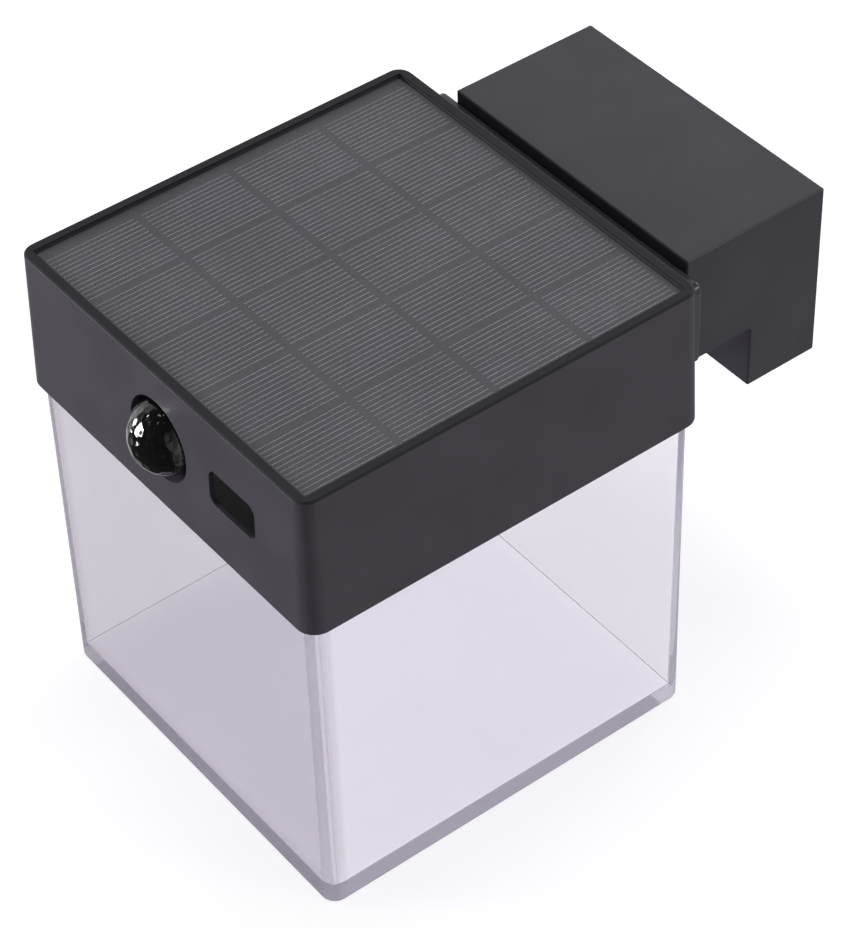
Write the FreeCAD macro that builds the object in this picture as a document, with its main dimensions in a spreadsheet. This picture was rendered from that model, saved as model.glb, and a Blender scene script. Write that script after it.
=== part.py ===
import FreeCAD, Part
import math
import os
from types import SimpleNamespace

import Sketcher
from FreeCAD import Placement, Rotation, Vector

# Solar fence light: a dark cap with a solar panel, a motion sensor and a button,
# a clear box-shaped shade under it, and a hollow bracket that hooks over a fence board.
# Millimetres, +Z up, +Y towards the fence. The origin is the middle of the seat, the
# strip of the bracket's underside that rests on the board.
# The cap, the shade and all that they hold are drawn from the middle of the cap's top
# (the lamp origin); the bracket and its pieces are drawn from the seat.

doc = FreeCAD.newDocument("fence_light")

driving_sizes = [
    # cap
    ("housing_width", 100.0),
    ("housing_depth", 100.5),
    ("housing_height", 34.3),
    ("housing_draft", 1.75),
    ("housing_corner", 4.5),
    ("housing_wall", 2.2),
    ("housing_edge", 0.45),
    ("deck_thickness", 1.8),
    ("wall_overlap", 0.5),
    ("post_radius", 3.4),
    ("post_inset", 5.6),
    ("web_length", 8.0),
    ("rib_thickness", 1.2),
    ("rib_depth", 2.0),
    ("rib_offset", 20.0),
    ("rib_end_gap", 3.0),
    ("lead_hole_radius", 3.0),
    ("lead_hole_back", 8.0),
    # solar panel, its recess and its grid of cells
    ("panel_width", 92.8),
    ("panel_depth", 93.4),
    ("panel_gap", 0.25),
    ("panel_sink", 0.9),
    ("cover_thickness", 0.6),
    ("board_thickness", 1.6),
    ("tape_thickness", 0.4),
    ("tape_width", 6.0),
    ("cell_width", 16.4),
    ("cell_depth", 21.6),
    ("cell_thickness", 0.25),
    ("cell_pitch_across", 18.1),
    ("cell_pitch_back", 23.35),
    ("cell_grid_shift", 0.8),
    # motion sensor
    ("sensor_drop", 17.1),
    ("lens_opening", 9.6),
    ("lens_radius", 8.6),
    ("lens_setback", 47.1),
    ("lens_wall", 0.8),
    ("flange_radius", 10.6),
    ("flange_thickness", 1.0),
    ("flange_front", 45.9),
    ("sleeve_radius", 12.2),
    ("sleeve_flat", 11.1),
    ("sleeve_length", 5.0),
    ("retainer_thickness", 1.5),
    ("retainer_bore", 8.9),
    ("retainer_gap", 0.1),
    ("sensor_radius", 4.1),
    ("sensor_height", 4.2),
    ("sensor_rim_radius", 4.6),
    ("sensor_rim_thickness", 0.8),
    # mode button and its switch
    ("button_across", 25.1),
    ("button_drop", 16.6),
    ("button_width", 14.8),
    ("button_height", 8.5),
    ("button_corner", 2.1),
    ("button_gap", 0.2),
    ("button_front", 49.2),
    ("button_cap", 1.9),
    ("button_edge", 0.4),
    ("button_lip", 0.6),
    ("button_lip_thickness", 0.8),
    ("stem_radius", 1.6),
    ("stem_length", 1.3),
    ("plunger_radius", 1.7),
    ("plunger_depth", 0.8),
    ("plunger_play", 0.08),
    ("switch_side", 6.2),
    ("switch_height", 3.4),
    ("switch_bore_depth", 1.6),
    # control board, upright behind the front wall
    ("control_front", 40.3),
    ("control_width", 56.2),
    ("control_height", 18.0),
    ("control_across", 10.1),
    ("control_drop", 16.6),
    ("control_post_reach", 25.9),
    ("control_post_radius", 1.9),
    ("control_post_length", 7.8),
    # battery
    ("cell_radius", 9.25),
    ("cell_length", 65.0),
    ("battery_back", 28.0),
    ("cradle_wall", 1.05),
    ("cradle_floor", 1.3),
    ("cradle_height", 11.0),
    ("cradle_end_wall", 1.5),
    ("cradle_gap", 0.2),
    ("rail_gap", 0.2),
    ("rail_wall", 1.0),
    ("rail_height", 2.5),
    ("contact_thickness", 0.45),
    ("wire_radius", 0.6),
    ("wire_bend", 2.5),
    # white plate over the shade, and the lights on it
    ("base_drop", 28.3),
    ("base_thickness", 2.0),
    ("base_gap", 0.5),
    ("led_board_side", 56.0),
    ("led_board_thickness", 1.2),
    ("led_ring_radius", 17.0),
    ("led_screw_reach", 23.0),
    ("led_boss_radius", 2.8),
    ("led_boss_height", 3.6),
    ("led_lead_front", 12.0),
    # shade
    ("shade_width", 96.8),
    ("shade_depth", 97.2),
    ("shade_bottom", 117.6),
    ("shade_corner", 3.5),
    ("shade_wall", 2.4),
    ("shade_floor", 3.9),
    ("shade_draft", 0.35),
    ("shade_edge", 0.8),
    ("shade_gap", 0.3),
    ("shade_inner_corner", 1.7),
    ("seal_thickness", 0.8),
    ("seal_inset", 0.6),
    # mounting plate
    ("plate_width", 85.6),
    ("plate_height", 21.0),
    ("plate_drop", 6.0),
    ("plate_corner", 2.0),
    ("plate_front", 49.2),
    ("plate_edge", 0.5),
    ("plate_gap", 0.1),
    ("plate_screw_reach", 34.0),
    ("plate_boss_radius", 4.0),
    ("plate_boss_face", 46.6),
    ("plate_hole_depth", 5.0),
    # bracket
    ("bracket_width", 75.4),
    ("seat_length", 18.6),
    ("seat_drop", 31.5),
    ("arm_height", 28.1),
    ("leg_thickness", 19.1),
    ("leg_drop", 15.9),
    ("bracket_front", 55.3),
    ("bracket_wall", 3.0),
    ("bracket_edge", 0.3),
    ("bracket_rib", 2.0),
    ("lid_thickness", 2.0),
    ("lid_inset", 2.0),
    ("lid_gap", 0.15),
    ("fastener_drop", 16.5),
    # screws: clearance holes are wider than the shank, pilot holes hold it
    ("small_shank", 0.85),
    ("middle_shank", 1.1),
    ("large_shank", 1.45),
    ("base_screw_length", 11.0),
    ("board_screw_length", 6.0),
    ("led_screw_length", 5.0),
    ("plate_screw_length", 7.5),
    ("pilot_fit", 0.05),
    ("clearance_fit", 0.25),
    ("cut_beyond", 1.0),
]

sheet = doc.addObject("Spreadsheet::Sheet", "Sizes")
for row, (alias, number) in enumerate(driving_sizes, start=1):
    sheet.set(f"A{row}", alias.replace("_", " "))
    sheet.set(f"B{row}", str(number))
    sheet.setAlias(f"B{row}", alias)
doc.recompute()


class Size:
    """A size in millimetres, with the expression that works it out from the sheet."""

    def __init__(self, number, text):
        self.number = float(number)
        self.text = text

    def __add__(self, other):
        other = as_size(other)
        return Size(self.number + other.number, f"({self.text} + {other.text})")

    def __sub__(self, other):
        other = as_size(other)
        return Size(self.number - other.number, f"({self.text} - {other.text})")

    def __mul__(self, other):
        other = as_size(other)
        return Size(self.number * other.number, f"{self.text} * {other.text}")

    def __truediv__(self, other):
        other = as_size(other)
        return Size(self.number / other.number, f"{self.text} / ({other.text})")

    def __neg__(self):
        return self * -1

    def __radd__(self, other):
        return as_size(other) + self

    def __rsub__(self, other):
        return as_size(other) - self

    def __rmul__(self, other):
        return self * other


def as_size(value):
    if isinstance(value, Size):
        return value
    return Size(value, f"({float(value)})")


size = SimpleNamespace(**{alias: Size(sheet.get(alias), f"Sizes.{alias}") for alias, _ in driving_sizes})
zero = as_size(0)

# sizes that several pieces share, counted from the lamp origin; drops are downwards
recess_depth = size.panel_sink + size.cover_thickness + size.board_thickness + size.tape_thickness
deck_drop = recess_depth + size.deck_thickness
cover_drop = size.panel_sink
panel_board_drop = cover_drop + size.cover_thickness
tape_drop = panel_board_drop + size.board_thickness
cavity_width = size.housing_width - 2 * size.housing_wall
cavity_depth = size.housing_depth - 2 * size.housing_wall
post_across = cavity_width / 2 - size.post_inset
post_back = cavity_depth / 2 - size.post_inset
base_bottom = size.base_drop + size.base_thickness
shade_top = base_bottom + size.seal_thickness
control_rear = size.control_front - size.board_thickness
battery_drop = size.base_drop - size.cradle_floor - size.cell_radius
plate_middle = size.plate_drop + size.plate_height / 2
retainer_rear = size.flange_front - size.flange_thickness - size.retainer_thickness
flange_rear = size.flange_front - size.flange_thickness
button_step = size.button_front - size.button_cap
button_rear = button_step - size.button_lip_thickness
plunger_front = button_rear - size.stem_length
switch_front = size.control_front + size.switch_height
cradle_length = size.cell_length + 2 * (size.contact_thickness + size.cradle_end_wall)
cradle_depth = 2 * (size.cell_radius + size.cradle_gap + size.cradle_wall)
led_drop = base_bottom + size.led_board_thickness
lead_spread = 1.4
cells_across, cells_back = 5, 4
bracket_cells = 5
sides = (-1, 1)
hole_sides = 8
post_sides = 12
lens_sides = 24
corners = [(side_x, side_y) for side_x in sides for side_y in sides]

# the bracket, counted from the seat
bracket_front_y = -size.seat_length / 2
leg_inner_y = size.seat_length / 2
bracket_rear_y = leg_inner_y + size.leg_thickness
bracket_top_z = size.arm_height
bracket_foot_z = -size.leg_drop
bracket_middle_z = (size.arm_height - size.leg_drop) / 2
fastener_z = size.seat_drop - size.fastener_drop
bracket_inside = size.bracket_width - 2 * size.bracket_wall
bracket_cell = (bracket_inside - (bracket_cells - 1) * size.bracket_rib) / bracket_cells
bracket_screw_reach = (bracket_cells - 1) / 2 * (bracket_cell + size.bracket_rib)

# the lamp origin in the part's own frame
lamp_y = bracket_front_y - size.bracket_front
lamp_z = size.seat_drop
sub_parts = []


def bind(thing, name, value):
    value = as_size(value)
    thing.setExpression(name, value.text)


def put(thing, x, y, z, turn=None):
    """Places a thing at x, y, z, bound to the sheet."""
    x, y, z = as_size(x), as_size(y), as_size(z)
    thing.Placement = Placement(Vector(x.number, y.number, z.number), turn or Rotation())
    bind(thing, "Placement.Base.x", x)
    bind(thing, "Placement.Base.y", y)
    bind(thing, "Placement.Base.z", z)


def on_lamp(thing):
    """A finished sub-part that is drawn from the lamp origin."""
    put(thing, 0, lamp_y, lamp_z)
    sub_parts.append(thing)
    return thing


def on_seat(thing):
    """A finished sub-part that is drawn from the seat."""
    put(thing, 0, 0, 0)
    sub_parts.append(thing)
    return thing


# ---- sketches -------------------------------------------------------------------------

def new_body(label):
    body = doc.addObject("PartDesign::Body", label)
    body.Label = label
    return body


def origin_item(body, role):
    return next(item for item in body.Origin.OriginFeatures if item.Role == role)


def new_sketch(body, role, lift=zero):
    """A sketch on the body's XY, XZ or YZ plane, moved along the plane's normal by lift."""
    lift = as_size(lift)
    sketch = body.newObject("Sketcher::SketchObject", f"{body.Label}_sketch")
    sketch.AttachmentSupport = [(origin_item(body, role), "")]
    sketch.MapMode = "FlatFace"
    sketch.AttachmentOffset = Placement(Vector(0, 0, lift.number), Rotation())
    bind(sketch, "AttachmentOffset.Base.z", lift)
    return sketch


def constrain(sketch, kind, *what, value=None):
    if value is None:
        return sketch.addConstraint(Sketcher.Constraint(kind, *what))
    value = as_size(value)
    index = sketch.addConstraint(Sketcher.Constraint(kind, *what, value.number))
    bind(sketch, f"Constraints[{index}]", value)
    return index


def locate(sketch, geometry, point, x, y):
    """Fixes a sketch point at x, y from the sketch's origin."""
    for kind, value, axis in (("DistanceX", as_size(x), -2), ("DistanceY", as_size(y), -1)):
        if abs(value.number) < 1e-9:
            constrain(sketch, "PointOnObject", geometry, point, axis)
        elif value.number > 0:
            constrain(sketch, kind, -1, 1, geometry, point, value=value)
        else:
            constrain(sketch, kind, geometry, point, -1, 1, value=-value)


def rounded_rectangle(sketch, width, depth, corner, x=zero, y=zero):
    """A rectangle with round corners about the point x, y."""
    width, depth, corner, x, y = (as_size(value) for value in (width, depth, corner, x, y))
    half_x, half_y, radius = width.number / 2, depth.number / 2, corner.number
    middle = Vector(x.number, y.number, 0)
    turns = [(1, -1), (1, 1), (-1, 1), (-1, -1)]
    arcs, lines = [], []
    for turn, (side_x, side_y) in enumerate(turns):
        centre = middle + Vector(side_x * (half_x - radius), side_y * (half_y - radius), 0)
        circle = Part.Circle(centre, Vector(0, 0, 1), radius)
        start = (turn - 1) * math.pi / 2
        arcs.append(sketch.addGeometry(Part.ArcOfCircle(circle, start, start + math.pi / 2), False))
    for turn in range(4):
        first = sketch.getPoint(arcs[turn], 2)
        last = sketch.getPoint(arcs[(turn + 1) % 4], 1)
        lines.append(sketch.addGeometry(Part.LineSegment(first, last), False))
    for turn in range(4):
        constrain(sketch, "Tangent", arcs[turn], 2, lines[turn], 1)
        constrain(sketch, "Tangent", lines[turn], 2, arcs[(turn + 1) % 4], 1)
    for turn in range(1, 4):
        constrain(sketch, "Equal", arcs[0], arcs[turn])
    constrain(sketch, "Vertical", lines[0])
    constrain(sketch, "Horizontal", lines[1])
    constrain(sketch, "Radius", arcs[0], value=corner)
    constrain(sketch, "DistanceX", arcs[2], 3, arcs[1], 3, value=width - 2 * corner)
    constrain(sketch, "DistanceY", arcs[0], 3, arcs[1], 3, value=depth - 2 * corner)
    centre = sketch.addGeometry(Part.Point(middle), True)
    constrain(sketch, "Symmetric", arcs[1], 3, arcs[3], 3, centre, 1)
    locate(sketch, centre, 1, x, y)


def rectangle(sketch, width, depth, x=zero, y=zero):
    """A rectangle with sharp corners about the point x, y."""
    half_width, half_depth = as_size(width) / 2, as_size(depth) / 2
    left, right = x - half_width, x + half_width
    near, far = y - half_depth, y + half_depth
    polygon(sketch, [(left, near), (right, near), (right, far), (left, far)])


def circle_at(sketch, radius, x=zero, y=zero):
    radius, x, y = as_size(radius), as_size(x), as_size(y)
    shape = Part.Circle(Vector(x.number, y.number, 0), Vector(0, 0, 1), radius.number)
    ring = sketch.addGeometry(shape, False)
    constrain(sketch, "Radius", ring, value=radius)
    locate(sketch, ring, 3, x, y)
    return ring


def many_sided_at(sketch, count, radius, x=zero, y=zero):
    """A regular outline of count sides, its corners on a circle about the point x, y."""
    x, y, radius = as_size(x), as_size(y), as_size(radius)
    turns = [2 * math.pi * index / count for index in range(count)]
    polygon(sketch, [(x + radius * round(math.cos(turn), 6), y + radius * round(math.sin(turn), 6))
                     for turn in turns])


def polygon(sketch, points):
    """A closed outline of straight edges through the given points."""
    points = [(as_size(x), as_size(y)) for x, y in points]
    count = len(points)
    lines = []
    for index in range(count):
        (x0, y0), (x1, y1) = points[index], points[(index + 1) % count]
        first, last = Vector(x0.number, y0.number, 0), Vector(x1.number, y1.number, 0)
        lines.append(sketch.addGeometry(Part.LineSegment(first, last), False))
    for index in range(count):
        constrain(sketch, "Coincident", lines[index], 2, lines[(index + 1) % count], 1)
    for index, (x, y) in enumerate(points):
        locate(sketch, lines[index], 1, x, y)


# ---- features -------------------------------------------------------------------------

def feature(body, kind, sketch, length, reverse=False, draft=None, middle=False):
    """A pad or pocket; the volume has to change, or the direction is wrong."""
    doc.recompute()
    before = body.Shape.Volume if not body.Shape.isNull() else 0.0
    item = body.newObject(f"PartDesign::{kind}", f"{body.Label}_{kind.lower()}")
    item.Profile = sketch
    item.Length = as_size(length).number
    bind(item, "Length", length)
    item.Reversed = reverse
    if middle:
        item.SideType = "Symmetric"
    if draft is not None:
        item.TaperAngle = -draft.number
        bind(item, "TaperAngle", -draft)
    doc.recompute()
    change = item.Shape.Volume - before
    if (kind == "Pad") != (change > 0) or abs(change) < 1e-6:
        raise RuntimeError(f"{item.Label} changes the volume by {change:.4f}")
    return item


def pad(body, sketch, length, **options):
    return feature(body, "Pad", sketch, length, **options)


def pocket(body, sketch, length, **options):
    return feature(body, "Pocket", sketch, length, **options)


def chamfer(body, base, reach, wanted):
    """Bevels the edges of base for which wanted(edge) is true."""
    names = [f"Edge{index}" for index, edge in enumerate(base.Shape.Edges, start=1) if wanted(edge)]
    item = body.newObject("PartDesign::Chamfer", f"{body.Label}_chamfer")
    item.Base = (base, names)
    item.Size = reach.number
    bind(item, "Size", reach)
    doc.recompute()
    return item


def pattern(body, original, count, length, count_back=1, length_back=zero):
    """Repeats a feature towards +X and, if asked, towards +Y."""
    item = body.newObject("PartDesign::LinearPattern", f"{body.Label}_pattern")
    item.Originals = [original]
    item.Direction = (origin_item(body, "X_Axis"), [""])
    item.Occurrences = count
    item.Length = as_size(length).number
    bind(item, "Length", length)
    if count_back > 1:
        item.Direction2 = (origin_item(body, "Y_Axis"), [""])
        item.Occurrences2 = count_back
        item.Length2 = as_size(length_back).number
        bind(item, "Length2", length_back)
    body.Tip = item
    doc.recompute()
    return item


def at_height(height):
    """Picks edges that lie at one height."""
    height = as_size(height).number
    return lambda edge: all(abs(vertex.Z - height) < 1e-4 for vertex in edge.Vertexes)


def at_depth(depth):
    """Picks edges that lie in one upright plane, depth behind the origin."""
    depth = as_size(depth).number
    return lambda edge: all(abs(vertex.Y - depth) < 1e-4 for vertex in edge.Vertexes)


# ---- primitives -----------------------------------------------------------------------

def box(label, low, high):
    """A box between two corners."""
    item = doc.addObject("Part::Box", label)
    for name, near, far in zip(("Length", "Width", "Height"), low, high):
        span = as_size(far) - as_size(near)
        setattr(item, name, span.number)
        bind(item, name, span)
    put(item, *low)
    return item


axis_turns = {
    "x": Rotation(Vector(0, 1, 0), 90),
    "y": Rotation(Vector(1, 0, 0), -90),
    "z": Rotation(),
}


def cylinder(label, radius, base, length, axis="z"):
    """A round bar from base, length long along the axis."""
    item = doc.addObject("Part::Cylinder", label)
    item.Radius = as_size(radius).number
    item.Height = as_size(length).number
    bind(item, "Radius", radius)
    bind(item, "Height", length)
    put(item, *base, turn=axis_turns[axis])
    return item


def many_sided(label, sides_around, radius, base, length, axis="z"):
    """A straight bar with flat sides, its corners on a circle."""
    item = doc.addObject("Part::Prism", label)
    item.Polygon = sides_around
    item.Circumradius = as_size(radius).number
    item.Height = as_size(length).number
    bind(item, "Circumradius", radius)
    bind(item, "Height", length)
    put(item, *base, turn=axis_turns[axis])
    return item


def joined(label, pieces):
    item = doc.addObject("Part::MultiFuse", label)
    item.Shapes = pieces
    return item


def cut(label, whole, tool):
    item = doc.addObject("Part::Cut", label)
    item.Base = whole
    item.Tool = tool
    return item


def group(label, pieces):
    """Separate solids that share one node."""
    item = doc.addObject("Part::Compound", label)
    item.Label = label
    item.Links = pieces
    return item


def screw(label, shank_radius, shank_length, seat, axis, sign):
    """A pan head that stands on its seat, with its shank going on along sign times the axis."""
    head_radius = 2 * shank_radius
    head_height = 1.3 * shank_radius
    steps = {"x": (1, 0, 0), "y": (0, 1, 0), "z": (0, 0, 1)}[axis]
    head_shift = -head_height if sign > 0 else zero
    shank_shift = zero if sign > 0 else -shank_length
    head_base = [as_size(value) + step * head_shift for value, step in zip(seat, steps)]
    shank_base = [as_size(value) + step * shank_shift for value, step in zip(seat, steps)]
    head = many_sided(f"{label}_head", 16, head_radius, head_base, head_height, axis)
    shank = many_sided(f"{label}_shank", 8, shank_radius, shank_base, shank_length, axis)
    return joined(label, [head, shank])


def wire(label, points):
    """An eight-sided lead through the points, with its corners cut off by the bend."""
    bend = size.wire_bend.number
    places = [Vector(*(as_size(value).number for value in point)) for point in points]
    path = [places[0]]
    for before, corner, after in zip(places, places[1:], places[2:]):
        into = (before - corner).normalize()
        out = (after - corner).normalize()
        path.append(corner + into * bend)
        path.append(corner + out * bend)
    path.append(places[-1])
    spine = Part.makePolygon(path)
    heading = (path[1] - path[0]).normalize()
    turn = Rotation(Vector(0, 0, 1), heading)
    ring = []
    for index in range(9):
        angle = index * math.pi / 4
        spoke = Vector(math.cos(angle), math.sin(angle), 0) * size.wire_radius.number
        ring.append(path[0] + turn.multVec(spoke))
    item = doc.addObject("Part::Feature", label)
    item.Shape = spine.makePipeShell([Part.makePolygon(ring)], True, False, 1)
    return item


# ---- cap ------------------------------------------------------------------------------

def button_outline(sketch, grow):
    """The outline of the mode button's face, grown on every side."""
    rounded_rectangle(sketch, size.button_width + 2 * grow, size.button_height + 2 * grow,
                      size.button_corner + grow, size.button_across, -size.button_drop)


def build_top_housing():
    """Moulded cap: drafted walls, a recess for the panel, openings, posts and a rear seat."""
    body = new_body("top_housing")
    foot = new_sketch(body, "XY_Plane", -size.housing_height)
    rounded_rectangle(foot, size.housing_width, size.housing_depth, size.housing_corner)
    outer = pad(body, foot, size.housing_height, draft=size.housing_draft)
    chamfer(body, outer, size.housing_edge, at_height(0))

    recess = new_sketch(body, "XY_Plane")
    rectangle(recess, size.panel_width + 2 * size.panel_gap, size.panel_depth + 2 * size.panel_gap)
    pocket(body, recess, recess_depth)

    inside = new_sketch(body, "XY_Plane", -size.housing_height)
    rectangle(inside, cavity_width, cavity_depth)
    pocket(body, inside, size.housing_height - deck_drop, reverse=True, draft=size.housing_draft)

    rebate = new_sketch(body, "XY_Plane", -size.housing_height)
    rounded_rectangle(rebate, size.shade_width + 2 * size.shade_gap, size.shade_depth + 2 * size.shade_gap,
                      size.shade_corner + size.shade_gap)
    pocket(body, rebate, size.housing_height - base_bottom, reverse=True)

    # ribs under the deck, either side of the middle
    ribs = new_sketch(body, "XY_Plane", -deck_drop - size.rib_depth)
    rib_length = cavity_depth - 2 * size.rib_end_gap
    for side in sides:
        rectangle(ribs, size.rib_thickness, rib_length, side * size.rib_offset)
    pad(body, ribs, size.rib_depth + size.wall_overlap)

    # sleeve round the sensor opening, flat where the base plate passes under it
    sleeve = new_sketch(body, "XZ_Plane", retainer_rear)
    outline = []
    for index in range(post_sides):
        turn = 2 * math.pi * (index + 0.5) / post_sides
        up = size.sleeve_radius * round(math.sin(turn), 6)
        if up.number < -size.sleeve_flat.number:
            up = -size.sleeve_flat
        outline.append((size.sleeve_radius * round(math.cos(turn), 6), up - size.sensor_drop))
    polygon(sleeve, outline)
    pad(body, sleeve, size.sleeve_length)

    # posts for the base plate, each tied to the side wall by a web
    posts = new_sketch(body, "XY_Plane", -size.base_drop)
    webs = new_sketch(body, "XY_Plane", -size.base_drop)
    for side_x, side_y in corners:
        many_sided_at(posts, post_sides, size.post_radius, side_x * post_across, side_y * post_back)
        web_middle = side_x * (post_across + size.housing_wall)
        rectangle(webs, size.web_length, size.rib_thickness, web_middle, side_y * post_back)
    post_length = size.base_drop - deck_drop + size.wall_overlap
    pad(body, posts, post_length)
    pad(body, webs, post_length)

    # posts of the control board on the front wall, and screw bosses on the rear wall
    board_posts = new_sketch(body, "XZ_Plane", size.control_front)
    bosses = new_sketch(body, "XZ_Plane", -size.plate_boss_face)
    for side in sides:
        across = size.control_across + side * size.control_post_reach
        many_sided_at(board_posts, post_sides, size.control_post_radius, across, -size.control_drop)
        reach = side * size.plate_screw_reach
        many_sided_at(bosses, post_sides, size.plate_boss_radius, reach, -size.fastener_drop)
    pad(body, board_posts, size.control_post_length)
    pad(body, bosses, (size.plate_front - size.plate_boss_face) / 2, reverse=True)

    # openings through the front wall: sensor bore, seat of the lens flange, button window
    in_front = size.housing_depth / 2 + size.cut_beyond
    bore = new_sketch(body, "XZ_Plane", in_front)
    circle_at(bore, size.lens_opening, zero, -size.sensor_drop)
    pocket(body, bore, in_front - retainer_rear + size.cut_beyond)
    counterbore = new_sketch(body, "XZ_Plane", retainer_rear - size.cut_beyond)
    counterbore_radius = size.flange_radius + size.retainer_gap
    many_sided_at(counterbore, lens_sides, counterbore_radius, zero, -size.sensor_drop)
    pocket(body, counterbore, size.flange_front - retainer_rear + size.cut_beyond, reverse=True)
    window = new_sketch(body, "XZ_Plane", in_front)
    button_outline(window, size.button_gap)
    pocket(body, window, in_front - button_rear)

    # upright seat of the mounting plate in the drafted rear wall, and its screw holes
    seat = new_sketch(body, "XZ_Plane", -in_front)
    rounded_rectangle(seat, size.plate_width + 2 * size.plate_gap, size.plate_height + 2 * size.plate_gap,
                      size.plate_corner + size.plate_gap, zero, -plate_middle)
    pocket(body, seat, in_front - size.plate_front, reverse=True)
    plate_holes = new_sketch(body, "XZ_Plane", -size.plate_boss_face + size.cut_beyond)
    for side in sides:
        many_sided_at(plate_holes, hole_sides, size.large_shank + size.clearance_fit,
                      side * size.plate_screw_reach, -size.fastener_drop)
    pocket(body, plate_holes, size.plate_front - size.plate_boss_face + 2 * size.cut_beyond)

    # pilot holes in the posts, and the hole in the deck for the panel's leads
    pilots = new_sketch(body, "XY_Plane", -size.base_drop)
    for side_x, side_y in corners:
        many_sided_at(pilots, hole_sides, size.middle_shank + size.pilot_fit,
                      side_x * post_across, side_y * post_back)
    pocket(body, pilots, size.base_screw_length, reverse=True)
    board_pilots = new_sketch(body, "XZ_Plane", size.control_front)
    for side in sides:
        across = size.control_across + side * size.control_post_reach
        many_sided_at(board_pilots, hole_sides, size.small_shank + size.pilot_fit,
                      across, -size.control_drop)
    pocket(body, board_pilots, size.board_screw_length, reverse=True)
    lead_hole = new_sketch(body, "XY_Plane")
    many_sided_at(lead_hole, post_sides, size.lead_hole_radius, zero, size.lead_hole_back)
    pocket(body, lead_hole, deck_drop + size.cut_beyond)
    return on_lamp(body)


# ---- solar panel ----------------------------------------------------------------------

def build_panel_cover():
    body = new_body("panel_cover")
    sketch = new_sketch(body, "XY_Plane", -cover_drop)
    rectangle(sketch, size.panel_width, size.panel_depth)
    pad(body, sketch, size.cover_thickness, reverse=True)
    return on_lamp(body)


def cell_sketch(body):
    """One cell of the grid, the one at its front left corner."""
    sketch = new_sketch(body, "XY_Plane", -panel_board_drop)
    x = size.cell_grid_shift - (cells_across - 1) * size.cell_pitch_across / 2
    y = -(cells_back - 1) * size.cell_pitch_back / 2
    rectangle(sketch, size.cell_width, size.cell_depth, x, y)
    return sketch


def repeat_cell(body, original):
    pattern(body, original, cells_across, (cells_across - 1) * size.cell_pitch_across,
            cells_back, (cells_back - 1) * size.cell_pitch_back)


def build_panel_board():
    """The board that carries the cells, each in a shallow pocket."""
    body = new_body("panel_board")
    sketch = new_sketch(body, "XY_Plane", -panel_board_drop)
    rectangle(sketch, size.panel_width, size.panel_depth)
    pad(body, sketch, size.board_thickness, reverse=True)
    repeat_cell(body, pocket(body, cell_sketch(body), size.cell_thickness))
    return on_lamp(body)


def build_solar_cells():
    body = new_body("solar_cells")
    body.AllowCompound = True
    repeat_cell(body, pad(body, cell_sketch(body), size.cell_thickness, reverse=True))
    return on_lamp(body)


def build_panel_tape():
    """Square ring of sticky tape between the board and the floor of the recess."""
    body = new_body("panel_tape")
    sketch = new_sketch(body, "XY_Plane", -tape_drop)
    for inset in (size.panel_gap, size.tape_width):
        rectangle(sketch, size.panel_width - 2 * inset, size.panel_depth - 2 * inset)
    pad(body, sketch, size.tape_thickness, reverse=True)
    return on_lamp(body)


def build_panel_wires():
    """Two leads that drop through the deck and run forward to the control board."""
    level = -12.0
    leads = []
    for side in sides:
        x = side * lead_spread
        down = (x, size.lead_hole_back, level)
        points = [(x, size.lead_hole_back, -tape_drop), down, (x, -control_rear, level)]
        leads.append(wire(f"panel_lead_{side}", points))
    return on_lamp(group("panel_wires", leads))


# ---- motion sensor --------------------------------------------------------------------

def dome(label, radius, runs, flat_tip):
    """A solid with flat facets from the lens centre's plane to the front of its sphere."""
    rings = []
    for index in range(runs + 1):
        turn = math.pi / 2 * min(index / runs, flat_tip)
        ring = doc.addObject("Part::RegularPolygon", f"{label}_ring_{index}")
        ring.Polygon = lens_sides
        ring_radius = radius * round(math.cos(turn), 6)
        ring.Circumradius = ring_radius.number
        bind(ring, "Circumradius", ring_radius)
        ahead = -size.lens_setback - radius * (1 if index == runs else round(math.sin(turn), 6))
        put(ring, zero, ahead, -size.sensor_drop, turn=axis_turns["y"])
        rings.append(ring)
    item = doc.addObject("Part::Loft", label)
    item.Sections = rings
    item.Solid = True
    item.Ruled = True
    doc.recompute()
    return item


def build_motion_lens():
    """Hollow faceted dome with a straight skirt and a flange."""
    inner = size.lens_radius - size.lens_wall
    skirt_length = size.lens_setback - flange_rear
    centre = (zero, -size.lens_setback, -size.sensor_drop)
    flange_base = (zero, -size.flange_front, -size.sensor_drop)
    skirt = many_sided("lens_skirt", lens_sides, size.lens_radius, centre, skirt_length, "y")
    flange = many_sided("lens_flange", lens_sides, size.flange_radius, flange_base,
                        size.flange_thickness, "y")
    whole = joined("lens_whole", [dome("lens_outside", size.lens_radius, 5, 0.88), skirt, flange])
    bore = many_sided("lens_bore", lens_sides, inner, centre, skirt_length, "y")
    hollow = joined("lens_hollow", [dome("lens_inside", inner, 2, 0.8), bore])
    return on_lamp(cut("motion_lens", whole, hollow))


def build_lens_retainer():
    """Ring that holds the lens flange against the front wall."""
    body = new_body("lens_retainer")
    sketch = new_sketch(body, "XZ_Plane", retainer_rear)
    many_sided_at(sketch, lens_sides, size.flange_radius, zero, -size.sensor_drop)
    many_sided_at(sketch, lens_sides, size.retainer_bore, zero, -size.sensor_drop)
    pad(body, sketch, size.retainer_thickness)
    return on_lamp(body)


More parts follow.
